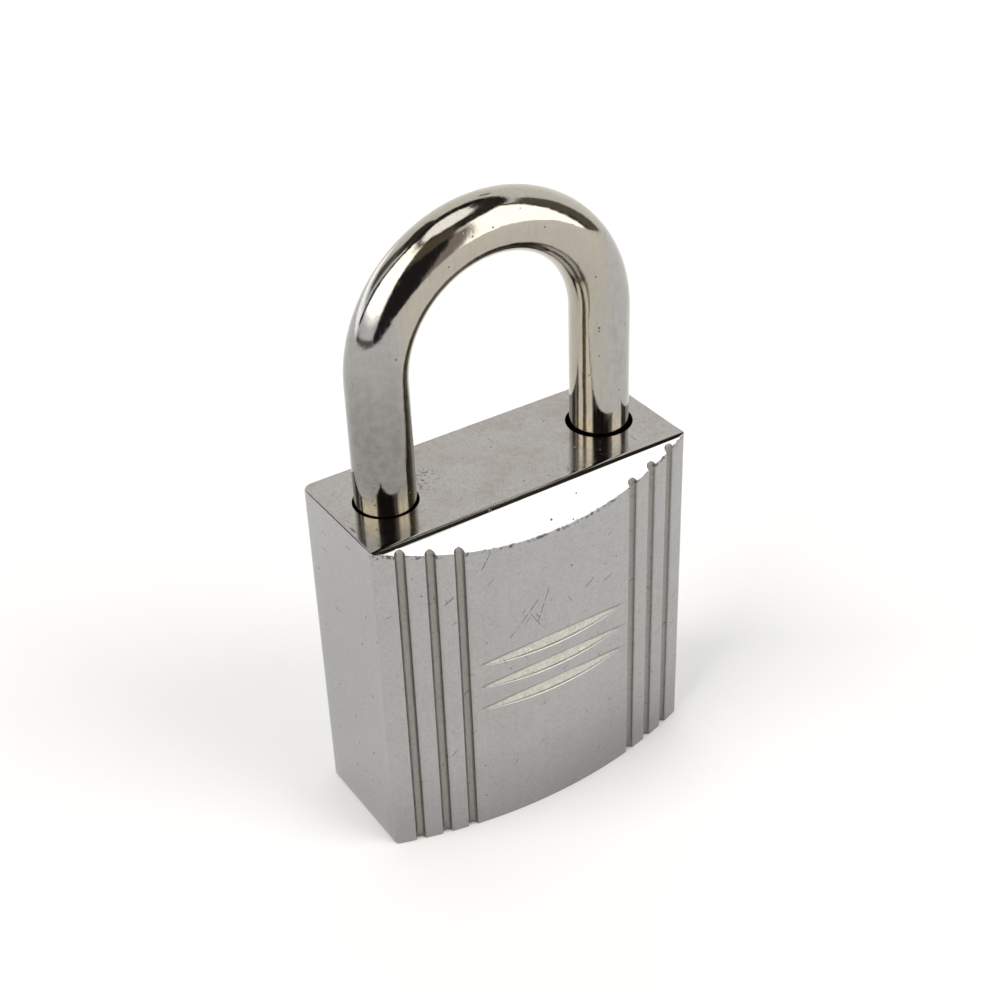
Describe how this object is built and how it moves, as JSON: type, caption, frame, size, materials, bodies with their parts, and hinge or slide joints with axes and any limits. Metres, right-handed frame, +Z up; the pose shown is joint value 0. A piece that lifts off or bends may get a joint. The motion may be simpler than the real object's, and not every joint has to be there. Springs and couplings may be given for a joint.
{
  "type": "key padlock",
  "caption": "Small solid rectangular padlock with a bowed, fluted front, a lifting round-bar shackle and a key-turned bolt worked from its base.",
  "frame": {"origin": "centre of the base, midway across the width and the full thickness", "axes": "+Z up towards the shackle, -Y out of the bowed front, +X from the heel leg to the toe leg"},
  "size_m": [0.018, 0.0086, 0.0324],
  "materials": {
    "plated_case": "worn polished nickel plate over solid brass",
    "plated_base": "satin nickel plate, hidden underside",
    "plated_bar": "polished nickel plate over round bar",
    "plated_disc": "nickel plate, worn round the keyway",
    "brass": "turned brass",
    "phosphor_bronze": "stamped bronze",
    "nickel_silver": "blanked nickel silver sheet",
    "steel": "ground steel",
    "hard_steel": "hardened steel, lightly oiled",
    "spring_steel": "drawn spring wire"
  },
  "bodies": {
    "case": {"body": "plated_case", "base_plate": "plated_base", "base_rivets": "plated_base", "lock_barrel": "brass", "ward_locating_pin": "steel", "thrust_washer": "phosphor_bronze", "driver_stop_pin": "steel", "bolt_guide": "brass", "guide_dowel": "steel", "heel_retaining_pin": "steel", "friction_ball": "hard_steel", "friction_spring": "spring_steel", "friction_plug": "plated_base", "ward_plate_1": "nickel_silver", "ward_plate_2": "nickel_silver", "ward_plate_3": "nickel_silver", "ward_spacer_1": "brass", "ward_spacer_2": "brass", "ward_spacer_3": "brass", "ward_spacer_4": "brass"},
    "shackle": {"shackle": "plated_bar"},
    "key_rotor": {"key_disc": "plated_disc", "cam_driver": "brass"},
    "bolt": {"lock_bolt": "hard_steel", "bolt_follower_pin": "steel"}
  },
  "joints": [
    {"name": "shackle_lift", "type": "slide", "parent": "case", "child": "shackle", "axis": [0, 0, 1], "range_m": [0, 0.0065]},
    {"name": "key_turn", "type": "hinge", "parent": "case", "child": "key_rotor", "pos_m": [0, 0, 0.0136], "axis": [0, 0, 1], "range_deg": [0, 180]},
    {"name": "bolt_throw", "type": "slide", "parent": "case", "child": "bolt", "axis": [1, 0, 0], "range_m": [0, 0.0011]}
  ],
  "couplings": [
    {"joint": "key_turn", "follows": "bolt_throw", "rad_per_m": 2856}
  ]
}
